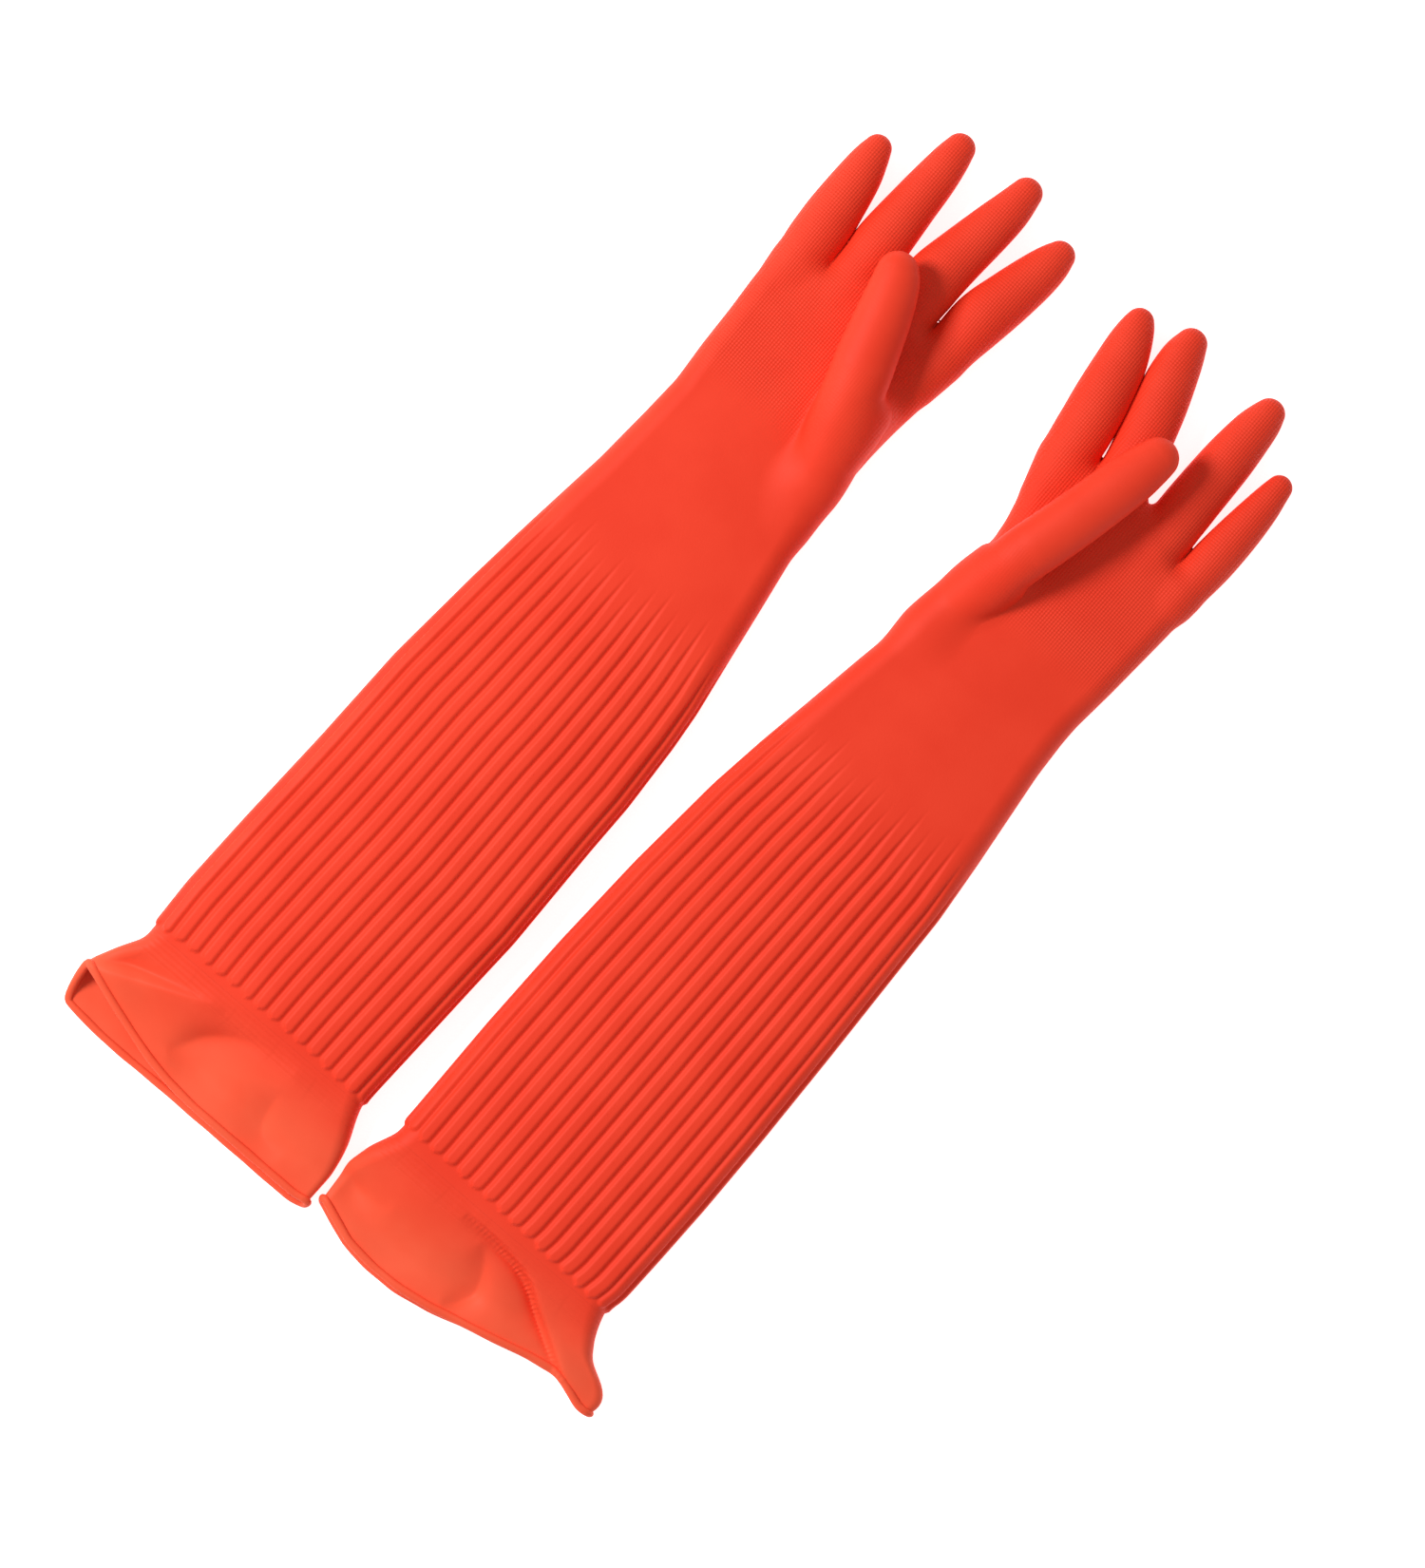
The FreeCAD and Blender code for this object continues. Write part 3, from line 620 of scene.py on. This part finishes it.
def bead_mesh(name, grid, material):
    """The rolled rim: a soft roll with a step where it meets the cuff."""
    rim = grid[0]
    back = grid[3] - grid[0]
    outward = -back / np.linalg.norm(back, axis=1, keepdims=True)
    for _ in range(6):
        outward = (np.roll(outward, 1, 0) + outward * 2 + np.roll(outward, -1, 0)) / 4
    tangent = np.roll(rim, -1, 0) - np.roll(rim, 1, 0)
    tangent /= np.linalg.norm(tangent, axis=1, keepdims=True)
    up = np.cross(tangent, outward)
    up /= np.linalg.norm(up, axis=1, keepdims=True)
    outward = np.cross(up, tangent)
    sides = 20
    angle = np.arange(sides) / sides * 2 * np.pi
    place = np.arange(len(rim))
    size = BEAD * (0.93 + 0.03 * np.sin(place * 0.21) + 0.02 * np.sin(place * 0.083 + 1))
    radius = size[:, None] * (1 + 0.04 * np.cos(3 * angle + 0.4))[None, :]
    centre = rim - outward * 0.2
    points = (centre[:, None] + outward[:, None] * (radius * np.cos(angle))[:, :, None]
              + up[:, None] * (radius * np.sin(angle))[:, :, None])
    mesh = bpy.data.meshes.new(name)
    rows = len(rim)
    faces = []
    for i in range(rows):
        for j in range(sides):
            a, b = (i + 1) % rows, (j + 1) % sides
            faces.append((i * sides + j, i * sides + b, a * sides + b, a * sides + j))
    flat = points.reshape(-1, 3)
    mesh.from_pydata(flat * MM, [], faces)
    mesh.polygons.foreach_set("use_smooth", np.ones(len(faces), bool))
    return linked(name, mesh, flat, material)


def rubber(name, grain):
    """Satin rubber: fine grain, a woven grip where the grip attribute says, soft colour drift."""
    material = bpy.data.materials.new(name)
    material.use_nodes = True
    nodes, links = material.node_tree.nodes, material.node_tree.links
    shader = nodes["Principled BSDF"]
    shader.inputs["Specular IOR Level"].default_value = 0.16
    rest = nodes.new("ShaderNodeAttribute")
    rest.attribute_name = "rest"
    grip = nodes.new("ShaderNodeAttribute")
    grip.attribute_name = "grip"

    def link(value, socket):
        if isinstance(value, (int, float)):
            socket.default_value = value
        elif isinstance(value, tuple):
            socket.default_value = (*value, 1)
        else:
            links.new(value, socket)

    def math_node(kind, *values):
        node = nodes.new("ShaderNodeMath")
        node.operation = kind
        for socket, value in zip(node.inputs, values):
            link(value, socket)
        return node.outputs[0]

    def mixed(share, one, two):
        node = nodes.new("ShaderNodeMix")
        node.data_type = "RGBA"
        link(share, node.inputs["Factor"])
        link(one, node.inputs["A"])
        link(two, node.inputs["B"])
        return node.outputs["Result"]

    def noise(scale, detail):
        node = nodes.new("ShaderNodeTexNoise")
        node.inputs["Scale"].default_value = scale
        node.inputs["Detail"].default_value = detail
        links.new(rest.outputs["Vector"], node.inputs["Vector"])
        return node.outputs["Fac"]

    def step(value, low, high):
        node = nodes.new("ShaderNodeMapRange")
        node.interpolation_type = "SMOOTHSTEP"
        node.inputs["From Min"].default_value = low
        node.inputs["From Max"].default_value = high
        link(value, node.inputs["Value"])
        return node.outputs["Result"]

    split = nodes.new("ShaderNodeSeparateXYZ")
    links.new(rest.outputs["Vector"], split.inputs[0])
    x, y = split.outputs["X"], split.outputs["Y"]
    drift = step(noise(0.03, 3.0), 0.3, 0.7)
    glove = mixed(drift, (0.92, 0.055, 0.022), (0.88, 0.047, 0.018))
    cuff = mixed(drift, (0.98, 0.12, 0.052), (0.96, 0.098, 0.04))
    toward_cuff = math_node("SUBTRACT", 1.0, step(y, -272.0, -226.0))
    link(mixed(toward_cuff, glove, cuff), shader.inputs["Base Color"])

    pitch = 2 * math.pi / GRIP_PITCH * math.sqrt(0.5)
    one = math_node("SINE", math_node("MULTIPLY", math_node("ADD", x, y), pitch))
    two = math_node("SINE", math_node("MULTIPLY", math_node("SUBTRACT", x, y), pitch))
    weave = math_node("MULTIPLY", math_node("MULTIPLY", one, two), grip.outputs["Fac"])
    fine = noise(1.3, 4.0)
    lines = math_node("SINE", math_node("MULTIPLY", y, 2 * math.pi / LINE_PITCH))
    band = math_node("COMPARE", y, LINES_Y, LINES_HALF)
    height = math_node("ADD", math_node("MULTIPLY", fine, grain), math_node("MULTIPLY", weave, 0.13))
    height = math_node("ADD", height, math_node("MULTIPLY", math_node("MULTIPLY", lines, band), 0.08))
    bump = nodes.new("ShaderNodeBump")
    bump.inputs["Strength"].default_value = 1.0
    bump.inputs["Distance"].default_value = MM
    link(height, bump.inputs["Height"])
    link(bump.outputs["Normal"], shader.inputs["Normal"])
    link(math_node("ADD", math_node("MULTIPLY", fine, 0.12), 0.5), shader.inputs["Roughness"])
    return material


def make_sleeve(glove, outline):
    """The cuff with its rim, the stretch around the elbow, and the rest of the sleeve."""
    grid, normals = sleeve(glove, outline)
    rows, columns = grid.shape[:2]
    faces = tube_faces(rows, columns)
    points, flat_normals = grid.reshape(-1, 3), normals.reshape(-1, 3)
    no_grip = np.zeros(len(points))
    row_y = grid[:, :, 1].mean(1)
    first = int(np.argmax(row_y > ELBOW_Y - ELBOW_HALF))
    second = int(np.argmax(row_y > ELBOW_Y + ELBOW_HALF))
    spans = {"cuff": (0, first), "elbow": (first, second), "sleeve": (second, rows - 1)}
    made = {}
    for word, (a, b) in spans.items():
        material = CUFF_RUBBER if word == "cuff" else GLOVE_RUBBER
        chosen = faces[a * columns:b * columns]
        made[word] = build_piece(f"{glove}_{word}_skin", points, chosen, flat_normals, no_grip, material)
    bead = bead_mesh(f"{glove}_bead_roll", grid, BEAD_RUBBER)
    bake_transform(made["cuff"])
    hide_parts(f"{glove}_cuff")
    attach(bead, f"{glove}_cuff")
    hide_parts(f"{glove}_bead")
    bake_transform(made["elbow"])
    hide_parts(f"{glove}_lower_sleeve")
    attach(made["sleeve"], f"{glove}_upper_sleeve")
    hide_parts(f"{glove}_upper_sleeve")


def grip_of(points, normals, digits):
    """Where the grip pattern is: the palm side of the hand and fingers, and hardly on the thumb."""
    mask = ease((normals[:, 2] - 0.15) / 0.5) * ease((points[:, 1] - 118) / 22)
    thumb = next(d for d in digits if d.name == "thumb")
    near = ease(1 - (thumb.field(points) - 0.5) / 5)
    return mask * (1 - 0.75 * near)


def make_hand(glove, outline):
    """The wrist and hand pieces, up to where the digits are cut off, and then the digits."""
    digits = [Digit(glove, name) for name in FINGERS + ("thumb",)]
    mound = Balls(GLOVES[glove]["mound"], THUMB_SQUAT)
    low = min(outline.low(150.0), outline.low(200.0)) - 6
    high = max(outline.high(150.0), outline.high(200.0)) + 6
    box = ([low, HAND_Y, LOW_Z], [high, SHORT_DIGITS_Y, HIGH_Z])
    points, faces, normals = skin(lambda p: hand_field(outline, digits, mound, p), *box, plane=True)
    middle = points[faces].mean(1)
    palm = np.minimum(palm_field(outline, middle), mound.field(middle))
    keep = np.ones(len(faces), bool)
    values = [digit.stump_field(middle) for digit in digits]
    for digit, value in zip(digits, values):
        mine = (value < palm) & (value <= np.min(values, 0))
        keep &= ~(mine & (digit.along(middle) >= digit.cut))
    grip = grip_of(points, normals, digits)
    for word, chosen in (("wrist", keep & (middle[:, 1] < WRIST_END_Y)),
                         ("hand", keep & (middle[:, 1] >= WRIST_END_Y))):
        piece = build_piece(f"{glove}_{word}_skin", points, faces[chosen], normals, grip, GLOVE_RUBBER)
        if word == "hand":
            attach(piece, f"{glove}_hand")
            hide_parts(f"{glove}_hand")
        else:
            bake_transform(piece)
    for digit in digits:
        make_digit(glove, outline, digits, mound, digit)


def make_digit(glove, outline, digits, mound, digit):
    """The root piece, which runs from the knuckle toward the fold, and the tip piece, which runs on from
    there.
    """
    spread = digit.balls[digit.balls_along() > -12]
    reach = spread[:, 2].max() + 4
    box = ([spread[:, 0].min() - reach, spread[:, 1].min() - 6, LOW_Z],
           [spread[:, 0].max() + reach, spread[:, 1].max() + reach, HIGH_Z])
    points, faces, normals = skin(lambda p: hand_field(outline, digits, mound, p, digit), *box)
    middle = points[faces].mean(1)
    mine = digit.field(middle) < np.minimum(palm_field(outline, middle), mound.field(middle))
    t = digit.along(middle)
    split = digit.fold - digit.half
    grip = grip_of(points, normals, digits) if digit.name != "thumb" else np.full(len(points), 0.1)

    # Each piece: where it starts and ends, where its bend ends, and the bodies that it joins.
    base, tip = f"{glove}_{digit.name}_base", f"{glove}_{digit.name}_tip"
    spans = {"root": (digit.cut, split, split - 1, f"{glove}_hand", base),
             "tip": (split, math.inf, digit.fold + digit.half, base, tip)}
    for word, (start, end, last, one, two) in spans.items():
        chosen = mine & (t >= start) & (t < end)
        piece = build_piece(f"{glove}_{digit.name}_{word}_skin", points, faces[chosen], normals,
                            grip, GLOVE_RUBBER)
        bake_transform(piece)
        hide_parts(two)


def make_stage():
    """Pale floor, soft light mostly from the side of the right-hand glove, and the camera above."""
    mesh = bpy.data.meshes.new("floor")
    half, low = 3.0, -0.0004
    corners = [(-half, -half, low), (half, -half, low), (half, half, low), (-half, half, low)]
    mesh.from_pydata(corners, [], [(0, 1, 2, 3)])
    floor = bpy.data.objects.new("floor", mesh)
    bpy.context.scene.collection.objects.link(floor)
    pale = bpy.data.materials.new("floor_look")
    pale.use_nodes = True
    shader = pale.node_tree.nodes["Principled BSDF"]
    shader.inputs["Base Color"].default_value = (0.86, 0.86, 0.86, 1)
    shader.inputs["Roughness"].default_value = 0.9
    shader.inputs["Emission Color"].default_value = (1, 1, 1, 1)
    shader.inputs["Emission Strength"].default_value = 0.8
    mesh.materials.append(pale)

    def area(name, where, size, power):
        data = bpy.data.lights.new(name, "AREA")
        data.size = size
        data.energy = power
        lamp = bpy.data.objects.new(name, data)
        lamp.location = where
        way = -np.array(where)
        lamp.rotation_euler = (math.atan2(math.hypot(way[0], way[1]), -way[2]), 0,
                               math.atan2(way[1], way[0]) - math.pi / 2)
        bpy.context.scene.collection.objects.link(lamp)

    area("key", (-1.25, -0.3, 1.35), 0.55, 27.5)
    bpy.context.scene.view_settings.view_transform = "Standard"
    world = bpy.data.worlds.new("studio")
    world.use_nodes = True
    world.node_tree.nodes["Background"].inputs["Color"].default_value = (1, 1, 1, 1)
    world.node_tree.nodes["Background"].inputs["Strength"].default_value = 0.4
    bpy.context.scene.world = world

    data = bpy.data.cameras.new("camera")
    distance, tall = 2.4, 0.7145
    data.lens = 36 * distance / tall
    data.clip_end = 50
    camera = bpy.data.objects.new("camera", data)
    camera.location = (0.008, -0.0165, 0.012 + distance)
    camera.rotation_euler = (0, 0, math.radians(40.7))
    bpy.context.scene.collection.objects.link(camera)
    bpy.context.scene.camera = camera


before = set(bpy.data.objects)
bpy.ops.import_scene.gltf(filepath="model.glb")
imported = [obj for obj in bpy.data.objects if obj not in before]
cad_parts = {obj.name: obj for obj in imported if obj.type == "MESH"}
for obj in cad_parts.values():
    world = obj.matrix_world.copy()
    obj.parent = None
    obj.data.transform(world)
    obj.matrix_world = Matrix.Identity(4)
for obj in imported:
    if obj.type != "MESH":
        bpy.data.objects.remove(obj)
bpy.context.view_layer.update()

GLOVE_RUBBER = rubber("glove_rubber_look", 0.05)
CUFF_RUBBER = rubber("cuff_rubber_look", 0.04)
BEAD_RUBBER = rubber("bead_rubber_look", 0.03)

for glove in GLOVES:
    shape = Outline(glove)
    make_sleeve(glove, shape)
    make_hand(glove, shape)
make_stage()
